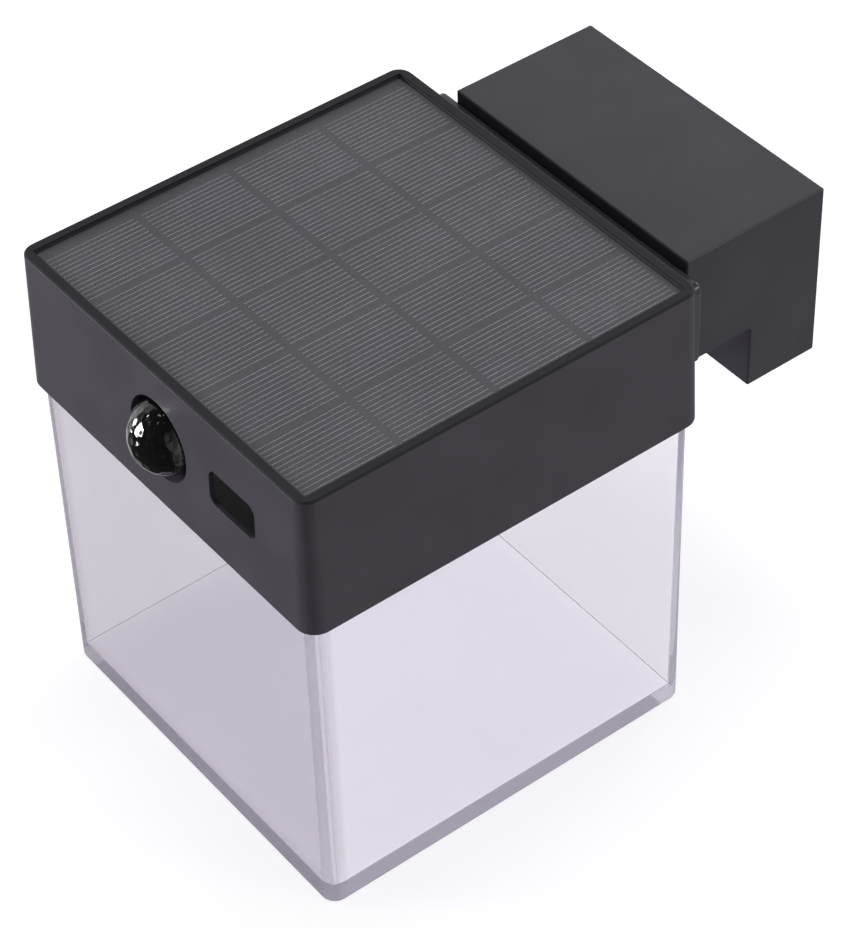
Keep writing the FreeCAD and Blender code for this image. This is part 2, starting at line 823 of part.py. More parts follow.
def build_motion_sensor():
    """Metal can with a rim, and a window sunk in its front."""
    z = -size.sensor_drop
    front = -size.control_front - size.sensor_height
    rim_front = -size.control_front - size.sensor_rim_thickness
    rim = many_sided("sensor_rim", lens_sides, size.sensor_rim_radius, (0, rim_front, z),
                     size.sensor_rim_thickness, "y")
    can = many_sided("sensor_can", lens_sides, size.sensor_radius, (0, front, z), size.sensor_height, "y")
    half_width, half_height, sink = 2.0, 1.5, 0.4
    low, high = (-half_width, front, z - half_height), (half_width, front + sink, z + half_height)
    window = box("sensor_window", low, high)
    return on_lamp(cut("motion_sensor", joined("sensor_whole", [rim, can]), window))


# ---- control board, switch and button -------------------------------------------------

def build_control_board():
    body = new_body("control_board")
    sketch = new_sketch(body, "XZ_Plane", size.control_front)
    rectangle(sketch, size.control_width, size.control_height, size.control_across, -size.control_drop)
    for side in sides:
        across = size.control_across + side * size.control_post_reach
        many_sided_at(sketch, hole_sides, size.small_shank + size.clearance_fit,
                      across, -size.control_drop)
    pad(body, sketch, size.board_thickness, reverse=True)
    return on_lamp(body)


def build_board_parts():
    """Chip, capacitor and two lead sockets on the rear of the control board."""
    rear = -control_rear
    chip = box("chip", (4.5, rear, -19.0), (10.5, rear + 1.6, -14.0))
    capacitor = many_sided("capacitor", post_sides, 2.5, (17.0, rear, -18.0), 6.0, "y")
    socket_width, socket_reach = 5.0, 4.0
    sockets = []
    for x in (-13.0, 27.0):
        low, high = (x, rear, -11.0), (x + socket_width, rear + socket_reach, -8.5)
        sockets.append(box(f"socket_{len(sockets)}", low, high))
    return on_lamp(group("board_parts", [chip, capacitor, *sockets]))


def build_board_screws():
    screws = []
    for side in sides:
        across = size.control_across + side * size.control_post_reach
        seat = (across, -control_rear, -size.control_drop)
        label = f"board_screw_{side}"
        screws.append(screw(label, size.small_shank, size.board_screw_length, seat, "y", -1))
    return on_lamp(group("board_screws", screws))


def build_tact_switch():
    x, z, half = size.button_across, -size.button_drop, size.switch_side / 2
    low, high = (x - half, -switch_front, z - half), (x + half, -size.control_front, z + half)
    case = box("switch_case", low, high)
    bore_radius = size.plunger_radius + size.plunger_play
    bore_base = (x, -switch_front, z)
    bore = many_sided("switch_bore", post_sides, bore_radius, bore_base, size.switch_bore_depth, "y")
    return on_lamp(cut("tact_switch", case, bore))


def build_switch_plunger():
    """Stem that slides in the switch; drawn straight at its place on the lamp."""
    length = plunger_front - switch_front + size.plunger_depth
    item = many_sided("switch_plunger", post_sides, size.plunger_radius, (0, 0, 0), length, "y")
    put(item, size.button_across, lamp_y - plunger_front, lamp_z - size.button_drop, axis_turns["y"])
    sub_parts.append(item)
    return item


def build_mode_button():
    """Soft cap with a lip behind the front wall and a stem that stands on the switch."""
    body = new_body("mode_button")
    face = new_sketch(body, "XZ_Plane", size.button_front)
    button_outline(face, zero)
    cap = pad(body, face, size.button_cap, reverse=True)
    chamfer(body, cap, size.button_edge, at_depth(-size.button_front))
    lip = new_sketch(body, "XZ_Plane", button_step)
    button_outline(lip, size.button_lip)
    pad(body, lip, size.button_lip_thickness, reverse=True)
    stem = new_sketch(body, "XZ_Plane", button_rear)
    many_sided_at(stem, post_sides, size.stem_radius, size.button_across, -size.button_drop)
    pad(body, stem, size.stem_length, reverse=True)
    return on_lamp(body)


# ---- battery --------------------------------------------------------------------------

def build_battery_cell():
    """Round cell on its side with the raised end of its positive pole."""
    y, z, half = size.battery_back, -battery_drop, size.cell_length / 2
    nub_radius, nub_height = 3.5, 0.8
    can = cylinder("cell_can", size.cell_radius, (-half, y, z), size.cell_length - nub_height, "x")
    nub = cylinder("cell_nub", nub_radius, (half - nub_height, y, z), nub_height, "x")
    return on_lamp(joined("battery_cell", [can, nub]))


def build_battery_cradle():
    """Open tray with the cell lying on its floor between two end walls."""
    body = new_body("battery_cradle")
    outline = new_sketch(body, "XY_Plane", -size.base_drop)
    rectangle(outline, cradle_length, cradle_depth, zero, size.battery_back)
    pad(body, outline, size.cradle_height)
    trough = new_sketch(body, "XY_Plane", -size.base_drop + size.cradle_height)
    rectangle(trough, cradle_length - 2 * size.cradle_end_wall, cradle_depth - 2 * size.cradle_wall,
              zero, size.battery_back)
    pocket(body, trough, size.cradle_height - size.cradle_floor)
    return on_lamp(body)


def build_battery_contacts():
    """Flat springs at both ends of the cell; they stand above the tray's end walls."""
    half_width, top = 4.0, -13.0
    floor = -size.base_drop + size.cradle_floor
    near_y, far_y = size.battery_back - half_width, size.battery_back + half_width
    half = size.cell_length / 2
    plates = []
    for name, inner in (("left", -half - size.contact_thickness), ("right", half)):
        low, high = (inner, near_y, floor), (inner + size.contact_thickness, far_y, top)
        plates.append(box(f"contact_{name}", low, high))
    return on_lamp(group("battery_contacts", plates))


def build_battery_wires():
    """Leads from both contacts, along the side walls and in to the control board."""
    start = size.cell_length / 2 + size.contact_thickness
    outside = start + size.wire_bend + 1.1
    level, turn_y, shoulder_y = -14.5, -20.0, -32.0
    leads = []
    for side, landing in ((1, 24.0), (-1, -12.0)):
        points = [
            (side * start, size.battery_back, level), (side * outside, size.battery_back, level),
            (side * outside, turn_y, level), (landing, shoulder_y, level), (landing, -control_rear, level),
        ]
        leads.append(wire(f"battery_lead_{side}", points))
    return on_lamp(group("battery_wires", leads))


# ---- white plate and lights -----------------------------------------------------------

def build_base_plate():
    """Closes the cap over the shade; carries the cradle's rails and the light board's bosses."""
    body = new_body("base_plate")
    sketch = new_sketch(body, "XY_Plane", -base_bottom)
    width, depth = cavity_width - 2 * size.base_gap, cavity_depth - 2 * size.base_gap
    rectangle(sketch, width, depth)
    for side_x, side_y in corners:
        screw_hole = size.middle_shank + size.clearance_fit
        many_sided_at(sketch, hole_sides, screw_hole, side_x * post_across, side_y * post_back)
    many_sided_at(sketch, post_sides, 2 * lead_spread - size.wire_radius, zero, -size.led_lead_front)
    pad(body, sketch, size.base_thickness)
    rails = new_sketch(body, "XY_Plane", -size.base_drop)
    for grow in (size.rail_gap, size.rail_gap + size.rail_wall):
        rectangle(rails, cradle_length + 2 * grow, cradle_depth + 2 * grow, zero, size.battery_back)
    pad(body, rails, size.rail_height)
    bosses = new_sketch(body, "XY_Plane", -size.base_drop)
    pilots = new_sketch(body, "XY_Plane", -base_bottom)
    for side in sides:
        reach = side * size.led_screw_reach
        many_sided_at(bosses, post_sides, size.led_boss_radius, reach, zero)
        many_sided_at(pilots, hole_sides, size.middle_shank + size.pilot_fit, reach, zero)
    pad(body, bosses, size.led_boss_height)
    pocket(body, pilots, size.led_screw_length, reverse=True)
    return on_lamp(body)


def build_base_screws():
    screws = []
    for side_x, side_y in corners:
        seat = (side_x * post_across, side_y * post_back, -base_bottom)
        label = f"base_screw_{side_x}_{side_y}"
        screws.append(screw(label, size.middle_shank, size.base_screw_length, seat, "z", 1))
    return on_lamp(group("base_screws", screws))


def build_led_board():
    body = new_body("led_board")
    sketch = new_sketch(body, "XY_Plane", -base_bottom)
    rectangle(sketch, size.led_board_side, size.led_board_side)
    for side in sides:
        many_sided_at(sketch, hole_sides, size.middle_shank + size.clearance_fit,
                      side * size.led_screw_reach, zero)
    pad(body, sketch, size.led_board_thickness, reverse=True)
    return on_lamp(body)


def build_led_chips():
    """Flat light chips in a ring on the underside of the board."""
    chip_length, chip_width, chip_height = 3.5, 2.8, 0.8
    body = new_body("led_chips")
    body.AllowCompound = True
    sketch = new_sketch(body, "XY_Plane", -led_drop)
    rectangle(sketch, chip_length, chip_width, size.led_ring_radius, zero)
    chip = pad(body, sketch, chip_height, reverse=True)
    ring = body.newObject("PartDesign::PolarPattern", "led_chips_ring")
    ring.Originals = [chip]
    ring.Axis = (origin_item(body, "Z_Axis"), [""])
    ring.Angle = 360
    ring.Occurrences = 8
    body.Tip = ring
    return on_lamp(body)


def build_led_screws():
    screws = []
    for side in sides:
        seat = (side * size.led_screw_reach, zero, -led_drop)
        screws.append(screw(f"led_screw_{side}", size.middle_shank, size.led_screw_length, seat, "z", 1))
    return on_lamp(group("led_screws", screws))


def build_led_wires():
    """Two leads up from the light board through the plate and forward to the control board."""
    level = -22.5
    leads = []
    for side in sides:
        x = side * lead_spread
        foot = (x, -size.led_lead_front, -base_bottom)
        points = [foot, (x, -size.led_lead_front, level), (x, -control_rear, level)]
        leads.append(wire(f"led_lead_{side}", points))
    return on_lamp(group("led_wires", leads))


# ---- shade ----------------------------------------------------------------------------

def build_shade():
    """Clear five-sided box, its walls thicker towards the floor, with its foot bevelled."""
    body = new_body("shade")
    outline = new_sketch(body, "XY_Plane", -size.shade_bottom)
    rounded_rectangle(outline, size.shade_width, size.shade_depth, size.shade_corner)
    block = pad(body, outline, size.shade_bottom - shade_top)
    chamfer(body, block, size.shade_edge, at_height(-size.shade_bottom))
    mouth = new_sketch(body, "XY_Plane", -shade_top)
    rounded_rectangle(mouth, size.shade_width - 2 * size.shade_wall, size.shade_depth - 2 * size.shade_wall,
                      size.shade_inner_corner)
    depth = size.shade_bottom - shade_top - size.shade_floor
    pocket(body, mouth, depth, draft=size.shade_draft)
    return on_lamp(body)


def build_shade_seal():
    """Flat ring on the shade's upper rim."""
    body = new_body("shade_seal")
    sketch = new_sketch(body, "XY_Plane", -shade_top)
    outer, inner = size.seal_inset, size.shade_wall - size.seal_inset / 2
    rounded_rectangle(sketch, size.shade_width - 2 * outer, size.shade_depth - 2 * outer,
                      size.shade_corner - outer)
    rectangle(sketch, size.shade_width - 2 * inner, size.shade_depth - 2 * inner)
    pad(body, sketch, size.seal_thickness)
    return on_lamp(body)


# ---- mounting plate and bracket -------------------------------------------------------

def build_mounting_plate():
    """Plate with round corners between the cap and the bracket, with blind screw holes."""
    body = new_body("mounting_plate")
    face = new_sketch(body, "XZ_Plane", -size.plate_front)
    rounded_rectangle(face, size.plate_width, size.plate_height, size.plate_corner, zero, -plate_middle)
    slab = pad(body, face, size.bracket_front - size.plate_front, reverse=True)
    chamfer(body, slab, size.plate_edge, at_depth(size.bracket_front))
    front_holes = new_sketch(body, "XZ_Plane", -size.plate_front)
    rear_holes = new_sketch(body, "XZ_Plane", -size.bracket_front)
    for side in sides:
        pilot = size.large_shank + size.pilot_fit
        for holes, reach in ((front_holes, size.plate_screw_reach), (rear_holes, bracket_screw_reach)):
            many_sided_at(holes, hole_sides, pilot, side * reach, -size.fastener_drop)
    pocket(body, front_holes, size.plate_hole_depth)
    pocket(body, rear_holes, size.plate_hole_depth, reverse=True)
    return on_lamp(body)


def build_plate_screws():
    screws = []
    for side in sides:
        seat = (side * size.plate_screw_reach, size.plate_boss_face, -size.fastener_drop)
        label = f"plate_screw_{side}"
        screws.append(screw(label, size.large_shank, size.plate_screw_length, seat, "y", 1))
    return on_lamp(group("plate_screws", screws))


def build_fence_bracket():
    """Hollow inverted L, moulded open to the rear, with ribs between its cells."""
    body = new_body("fence_bracket")
    side = new_sketch(body, "YZ_Plane")
    polygon(side, [
        (bracket_front_y, zero), (leg_inner_y, zero), (leg_inner_y, bracket_foot_z),
        (bracket_rear_y, bracket_foot_z), (bracket_rear_y, bracket_top_z), (bracket_front_y, bracket_top_z),
    ])
    block = pad(body, side, size.bracket_width, middle=True)
    chamfer(body, block, size.bracket_edge, lambda edge: True)

    lid_seat = new_sketch(body, "XZ_Plane", -bracket_rear_y)
    rectangle(lid_seat, size.bracket_width - 2 * size.lid_inset,
              size.arm_height + size.leg_drop - 2 * size.lid_inset, zero, bracket_middle_z)
    pocket(body, lid_seat, size.lid_thickness, reverse=True)

    wall = size.bracket_wall
    foot = bracket_foot_z + wall
    cell = new_sketch(body, "YZ_Plane", -bracket_screw_reach)
    polygon(cell, [
        (bracket_front_y + wall, wall), (leg_inner_y + wall, wall), (leg_inner_y + wall, foot),
        (bracket_rear_y, foot), (bracket_rear_y, bracket_top_z - wall),
        (bracket_front_y + wall, bracket_top_z - wall),
    ])
    first = pocket(body, cell, bracket_cell, middle=True)
    pattern(body, first, bracket_cells, 2 * bracket_screw_reach)

    holes = new_sketch(body, "XZ_Plane", -bracket_front_y + size.cut_beyond)
    for end in sides:
        many_sided_at(holes, hole_sides, size.large_shank + size.clearance_fit,
                      end * bracket_screw_reach, fastener_z)
    pocket(body, holes, wall + 2 * size.cut_beyond)
    return on_seat(body)


def build_bracket_cover():
    """Lid that closes the bracket's rear, flush with its edges."""
    body = new_body("bracket_cover")
    sketch = new_sketch(body, "XZ_Plane", -bracket_rear_y)
    inset = size.lid_inset + size.lid_gap
    rectangle(sketch, size.bracket_width - 2 * inset, size.arm_height + size.leg_drop - 2 * inset,
              zero, bracket_middle_z)
    pad(body, sketch, size.lid_thickness)
    return on_seat(body)


def build_bracket_screws():
    screws = []
    for side in sides:
        seat = (side * bracket_screw_reach, bracket_front_y + size.bracket_wall, fastener_z)
        label = f"bracket_screw_{side}"
        screws.append(screw(label, size.large_shank, size.plate_screw_length, seat, "y", -1))
    return on_seat(group("bracket_screws", screws))


builders = [
    build_top_housing, build_panel_cover, build_solar_cells, build_panel_board, build_panel_tape,
    build_panel_wires, build_motion_lens, build_lens_retainer, build_motion_sensor, build_control_board,
    build_board_parts, build_board_screws, build_tact_switch, build_switch_plunger, build_mode_button,
    build_battery_cell, build_battery_cradle, build_battery_contacts, build_battery_wires,
    build_base_plate, build_base_screws, build_led_board, build_led_chips, build_led_screws,
    build_led_wires, build_shade, build_shade_seal, build_mounting_plate, build_plate_screws,
    build_fence_bracket, build_bracket_cover, build_bracket_screws,
]
for builder in builders:
    builder()
doc.recompute()

for item in doc.Objects:
    if "Invalid" in item.State or "Error" in item.State:
        raise RuntimeError(f"{item.Label} could not be worked out: {item.State}")

os.makedirs("parts", exist_ok=True)
for item in sub_parts:
    if item.Shape.isNull() or not item.Shape.isValid():
        raise RuntimeError(f"{item.Label} has no sound shape")
    item.Shape.exportStep(f"parts/{item.Label}.step")
    span = item.Shape.BoundBox
    reach = " ".join(f"{value:8.2f}" for value in (span.XMin, span.XMax, span.YMin, span.YMax,
                                                   span.ZMin, span.ZMax))
    print(f"{item.Label:18s} {len(item.Shape.Solids):2d} solids {item.Shape.Volume:11.1f} mm3 {reach}")
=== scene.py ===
import bmesh
import bpy
import math
from mathutils import Matrix, Quaternion, Vector


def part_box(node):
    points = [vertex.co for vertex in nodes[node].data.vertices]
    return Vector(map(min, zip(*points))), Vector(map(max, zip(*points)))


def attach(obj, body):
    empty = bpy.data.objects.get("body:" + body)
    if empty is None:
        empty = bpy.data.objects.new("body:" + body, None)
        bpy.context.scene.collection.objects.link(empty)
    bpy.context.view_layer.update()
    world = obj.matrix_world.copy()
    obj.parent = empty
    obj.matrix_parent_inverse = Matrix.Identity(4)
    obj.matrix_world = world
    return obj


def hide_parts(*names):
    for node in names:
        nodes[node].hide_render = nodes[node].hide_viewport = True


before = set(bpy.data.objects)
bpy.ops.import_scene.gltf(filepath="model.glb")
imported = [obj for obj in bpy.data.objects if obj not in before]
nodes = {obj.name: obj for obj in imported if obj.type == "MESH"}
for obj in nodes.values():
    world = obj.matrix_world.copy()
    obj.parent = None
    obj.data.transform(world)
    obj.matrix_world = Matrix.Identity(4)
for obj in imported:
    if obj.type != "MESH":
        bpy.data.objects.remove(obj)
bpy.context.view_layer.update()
print("packed model loaded")


# node trees

def addNode(tree, kind, values=None, **settings):
    node = tree.nodes.new(kind)
    for name, value in settings.items():
        setattr(node, name, value)
    for name, value in (values or {}).items():
        if isinstance(value, bpy.types.NodeSocket):
            tree.links.new(value, node.inputs[name])
        else:
            node.inputs[name].default_value = value
    return node


def mathNode(tree, operation, first, second=0.0, third=0.0):
    return addNode(tree, "ShaderNodeMath", {0: first, 1: second, 2: third}, operation=operation).outputs[0]


def mixColours(tree, amount, first, second):
    node = addNode(tree, "ShaderNodeMix", data_type="RGBA")
    for index, value in ((0, amount), (6, first), (7, second)):
        if isinstance(value, bpy.types.NodeSocket):
            tree.links.new(value, node.inputs[index])
        else:
            node.inputs[index].default_value = value
    return node.outputs[2]


def spread(tree, value, low, high, toLow=0.0, toHigh=1.0):
    names = {"Value": value, "From Min": low, "From Max": high, "To Min": toLow, "To Max": toHigh}
    return addNode(tree, "ShaderNodeMapRange", names, interpolation_type="SMOOTHSTEP").outputs[0]


def colour(rgb):
    return (*rgb, 1.0)


def newGroup(name, inputs, outputs):
    group = bpy.data.node_groups.new(name, "ShaderNodeTree")
    for label, kind, value in inputs:
        socket = group.interface.new_socket(label, in_out="INPUT", socket_type=kind)
        socket.default_value = value
    for label, kind in outputs:
        group.interface.new_socket(label, in_out="OUTPUT", socket_type=kind)
    entry = group.nodes.new("NodeGroupInput")
    out = group.nodes.new("NodeGroupOutput")
    return group, entry.outputs, out.inputs


def useGroup(tree, group, **values):
    node = tree.nodes.new("ShaderNodeGroup")
    node.node_tree = group
    for name, value in values.items():
        socket = node.inputs[name]
        if isinstance(value, bpy.types.NodeSocket):
            tree.links.new(value, socket)
        else:
            socket.default_value = value
    return node.outputs


# fine texture of a spark-eroded mould: fine grain, and broad soft mottling
mouldGrain, grainIn, grainOut = newGroup(
    "mouldGrain",
    [("Scale", "NodeSocketFloat", 2500.0), ("Mottle Scale", "NodeSocketFloat", 60.0)],
    [("Height", "NodeSocketFloat"), ("Mottle", "NodeSocketFloat")])
grainPlace = addNode(mouldGrain, "ShaderNodeTexCoord").outputs["Object"]
fineGrain = addNode(mouldGrain, "ShaderNodeTexNoise",
                    {"Vector": grainPlace, "Scale": grainIn["Scale"], "Detail": 2.0, "Roughness": 0.6})
broadGrain = addNode(mouldGrain, "ShaderNodeTexNoise",
                     {"Vector": grainPlace, "Scale": grainIn["Mottle Scale"], "Detail": 3.0,
                      "Roughness": 0.5})
mouldGrain.links.new(fineGrain.outputs[0], grainOut["Height"])
mouldGrain.links.new(broadGrain.outputs[0], grainOut["Mottle"])

# a spotty mask along convex edges, from the surface's own pointiness; on the dark plastics the darker edge
# colour laid there is painted shade
convexEdgeMask, edgeIn, edgeOut = newGroup(
    "convexEdgeMask",
    [("Pointiness", "NodeSocketFloat", 0.5), ("Start", "NodeSocketFloat", 0.52),
     ("End", "NodeSocketFloat", 0.62)],
    [("Mask", "NodeSocketFloat")])
edgeNoise = addNode(convexEdgeMask, "ShaderNodeTexNoise",
                   {"Vector": addNode(convexEdgeMask, "ShaderNodeTexCoord").outputs["Object"],
                    "Scale": 300.0, "Detail": 3.0}).outputs[0]
edgeRamp = spread(convexEdgeMask, edgeIn["Pointiness"], edgeIn["Start"], edgeIn["End"])
edgeSpots = spread(convexEdgeMask, edgeNoise, 0.25, 0.6)
convexEdgeMask.links.new(mathNode(convexEdgeMask, "MULTIPLY", edgeRamp, edgeSpots), edgeOut["Mask"])

# parallel lines: a mask of thin lines across one direction, in metres
fineLines, linesIn, linesOut = newGroup(
    "fineLines",
    [("Across", "NodeSocketFloat", 0.0), ("Pitch", "NodeSocketFloat", 0.001),
     ("Width", "NodeSocketFloat", 0.2)],
    [("Mask", "NodeSocketFloat")])
lineTurn = mathNode(fineLines, "DIVIDE", linesIn["Across"], linesIn["Pitch"])
lineFraction = mathNode(fineLines, "FRACT", lineTurn)
lineSaw = mathNode(fineLines, "ABSOLUTE", mathNode(fineLines, "SUBTRACT", lineFraction, 0.5))
lineEdge = mathNode(fineLines, "MULTIPLY", linesIn["Width"], 0.5)
lineSoft = mathNode(fineLines, "MULTIPLY", linesIn["Width"], 1.1)
lineFall = addNode(fineLines, "ShaderNodeMapRange",
                   {"Value": lineSaw, "From Min": lineEdge, "From Max": lineSoft,
                    "To Min": 1.0, "To Max": 0.0},
                   interpolation_type="SMOOTHSTEP").outputs[0]
fineLines.links.new(lineFall, linesOut["Mask"])


def newMaterial(name):
    material = bpy.data.materials.new(name)
    material.use_nodes = True
    tree = material.node_tree
    shader = tree.nodes["Principled BSDF"]
    return material, tree, shader


def connect(tree, shader, **links):
    for name, socket in links.items():
        tree.links.new(socket, shader.inputs[name.replace("_", " ")])


def plasticMaterial(name, look):
    material, tree, shader = newMaterial(name)
    grain = useGroup(tree, mouldGrain, **{"Scale": look["grain"], "Mottle Scale": look.get("mottle", 60.0)})
    point = addNode(tree, "ShaderNodeNewGeometry").outputs["Pointiness"]
    edgeAmount = useGroup(tree, convexEdgeMask, Pointiness=point)["Mask"]
    broad = spread(tree, grain["Mottle"], 0.3, 0.7)
    base = mixColours(tree, broad, colour(look["dark"]), colour(look["light"]))
    # the look's edge colour is mixed in along convex edges; on the dark plastics it is darker, as painted shade
    edgeWeight = mathNode(tree, "MULTIPLY", edgeAmount, look.get("edgeAmount", 0.3))
    base = mixColours(tree, edgeWeight, base, colour(look.get("edge", look["light"])))
    # painted shade: a band at the top of the piece is darkened to the rim colour
    if "paintedRimShade" in look:
        height = addNode(tree, "ShaderNodeSeparateXYZ",
                         {0: addNode(tree, "ShaderNodeTexCoord").outputs["Object"]}).outputs["Z"]
        rim = spread(tree, height, look["rimStart"], look["rimStart"] + 0.0003)
        base = mixColours(tree, rim, base, colour(look["paintedRimShade"]))
    low, high = look["roughness"]
    rough = spread(tree, grain["Height"], 0.25, 0.75, low, high)
    if "paintedRimShade" in look:
        rough = mathNode(tree, "MAXIMUM", rough, mathNode(tree, "MULTIPLY", rim, look["rimRoughness"]))
    bump = addNode(tree, "ShaderNodeBump", {"Height": grain["Height"], "Strength": look["bump"],
                                            "Distance": look.get("depth", 0.00002)})
    connect(tree, shader, Base_Color=base, Roughness=rough, Normal=bump.outputs[0])
    shader.inputs["Metallic"].default_value = look.get("metallic", 0.0)
    shader.inputs["Specular IOR Level"].default_value = look.get("specular", 0.5)
    return material


# meshes

def newPiece(name, mesh, body, slotName, *replaced):
    piece = bpy.data.objects.new(name, mesh)
    bpy.context.scene.collection.objects.link(piece)
    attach(piece, body)
    if replaced:
        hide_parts(*replaced)
    return piece


def smooth(mesh, degrees=30):
    for face in mesh.polygons:
        face.use_smooth = True
    mesh.set_sharp_from_angle(angle=math.radians(degrees))


def roundedCopy(node, name, body, slotName, width, segments=3, degrees=25):
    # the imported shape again, with its sharp edges rounded
    shape = bmesh.new()
    shape.from_mesh(nodes[node].data)
    bmesh.ops.remove_doubles(shape, verts=shape.verts, dist=0.000002)
    bmesh.ops.dissolve_limit(shape, angle_limit=math.radians(0.6), verts=shape.verts, edges=shape.edges)
    mesh = bpy.data.meshes.new(name)
    shape.to_mesh(mesh)
    shape.free()
    piece = newPiece(name, mesh, body, slotName, node)
    for face in mesh.polygons:
        face.use_smooth = True
    bevel = piece.modifiers.new("softEdges", "BEVEL")
    bevel.width = width
    bevel.segments = segments
    bevel.limit_method = "ANGLE"
    bevel.angle_limit = math.radians(degrees)
    bevel.miter_outer = "MITER_ARC"
    flatten = piece.modifiers.new("flatWalls", "WEIGHTED_NORMAL")
    flatten.mode = "FACE_AREA"
    return piece


def roundedLoop(halfX, halfY, radius, height, centre=(0.0, 0.0), steps=10):
    # points of a rectangle with round corners, at one height
    points = []
    for turn, (sideX, sideY) in enumerate(((1, -1), (1, 1), (-1, 1), (-1, -1))):
        middleX = centre[0] + sideX * (halfX - radius)
        middleY = centre[1] + sideY * (halfY - radius)
        for step in range(steps + 1):
            angle = (turn - 1 + step / steps) * math.pi / 2
            outX, outY = radius * math.cos(angle), radius * math.sin(angle)
            points.append(Vector((middleX + outX, middleY + outY, height)))
    return points


def loopMesh(name, loops, closeFirst=True, closeLast=True, joinEnds=False):
    # a skin over rings of points that all have the same count
    shape = bmesh.new()
    rings = [[shape.verts.new(point) for point in loop] for loop in loops]
    pairs = list(zip(rings, rings[1:]))
    if joinEnds:
        pairs.append((rings[-1], rings[0]))
    for first, second in pairs:
        count = len(first)
        for index in range(count):
            after = (index + 1) % count
            shape.faces.new((first[index], first[after], second[after], second[index]))
    if closeFirst:
        shape.faces.new(list(reversed(rings[0])))
    if closeLast:
        shape.faces.new(rings[-1])
    bmesh.ops.recalc_face_normals(shape, faces=shape.faces)
    mesh = bpy.data.meshes.new(name)
    shape.to_mesh(mesh)
    shape.free()
    return mesh


def turnedMesh(name, profile, base, axis, steps=64):
    # a profile of (radius, along) points turned about an axis through base
    toAxis = Vector((0, 0, 1)).rotation_difference(Vector(axis)).to_matrix()
    loops = []
    for radius, along in profile:
        ring = []
        for step in range(steps):
            angle = 2 * math.pi * step / steps
            point = Vector((radius * math.cos(angle), radius * math.sin(angle), along))
            ring.append(Vector(base) + toAxis @ point)
        loops.append(ring)
    mesh = loopMesh(name, loops)
    smooth(mesh)
    return mesh


def setMaterial(node, material):
    thing = nodes[node]
    if not thing.material_slots:
        thing.data.materials.append(material)
    for place in thing.material_slots:
        place.link = "OBJECT"
        place.material = material


# camera
cameraView = {"place": (0.41597, -0.35580, 0.45390), "aim": (0.02697, -0.06873, 0.0), "roll": -2.0607,
              "lens": 127.45, "sensorHeight": 36.0}
cameraData = bpy.data.cameras.new("photoCamera")
cameraData.sensor_fit = "VERTICAL"
cameraData.sensor_height = cameraView["sensorHeight"]
cameraData.lens = cameraView["lens"]
cameraData.clip_start = 0.01
camera = bpy.data.objects.new("photoCamera", cameraData)
bpy.context.scene.collection.objects.link(camera)
bpy.context.scene.camera = camera
lookAlong = Vector(cameraView["aim"]) - Vector(cameraView["place"])
level = lookAlong.to_track_quat("-Z", "Y")
camera.rotation_mode = "QUATERNION"
camera.rotation_quaternion = level @ Quaternion((0, 0, 1), math.radians(cameraView["roll"]))
camera.location = cameraView["place"]
bpy.context.scene.view_settings.view_transform = "Standard"
print("camera set")

# dark plastic of the cap and of the bracket
# painted shade: the darker edge colours here darken convex edges, and the rim colour darkens the cap's top rim
# and edge
darkLook = {"dark": (0.058, 0.052, 0.066), "light": (0.066, 0.060, 0.075), "edge": (0.034, 0.030, 0.038),
            "grain": 3200.0, "roughness": (0.40, 0.52), "bump": 0.25, "edgeAmount": 0.6, "specular": 0.28,
            "rimStart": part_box("top_housing")[1].z - 0.0006, "paintedRimShade": (0.018, 0.016, 0.021),
            "rimRoughness": 0.75}
bracketLook = {"dark": (0.046, 0.043, 0.053), "light": (0.053, 0.050, 0.061), "edge": (0.032, 0.030, 0.037),
               "grain": 3200.0, "roughness": (0.36, 0.48), "bump": 0.2, "edgeAmount": 0.6, "specular": 0.28}
hangerLook = {**bracketLook, "roughness": (0.18, 0.26), "specular": 0.42, "edgeAmount": 0.2}
darkPlastic = plasticMaterial("darkPlastic", darkLook)
bracketPlastic = plasticMaterial("bracketPlastic", bracketLook)
hangerPlastic = plasticMaterial("hangerPlastic", hangerLook)
housing = roundedCopy("top_housing", "capShell", "lamp", "dark_plastic", 0.00025)
bracket = roundedCopy("fence_bracket", "bracketShell", "lamp", "bracket_plastic", 0.0002)
lid = roundedCopy("bracket_cover", "bracketLid", "lamp", "bracket_plastic", 0.0002)
hanger = roundedCopy("mounting_plate", "hangerPlate", "lamp", "bracket_plastic", 0.0003)
housing.data.materials.append(darkPlastic)
hanger.data.materials.append(hangerPlastic)
for piece in (bracket, lid):
    piece.data.materials.append(bracketPlastic)
print("cap and bracket dressed")


# solar panel: cells with silver fingers under a matt laminate
panelSizes = {"fingerPitch": 0.0013, "fingerWidth": 0.10, "coverLift": 0.00012, "coverBevel": 0.00015,
              "corner": 0.0008}
cellColours = {"silicon": (0.036, 0.035, 0.043), "blue": (0.046, 0.046, 0.090),
               "finger": (0.92, 0.92, 0.96),
               "board": (0.050, 0.048, 0.058), "boardLight": (0.056, 0.054, 0.064)}

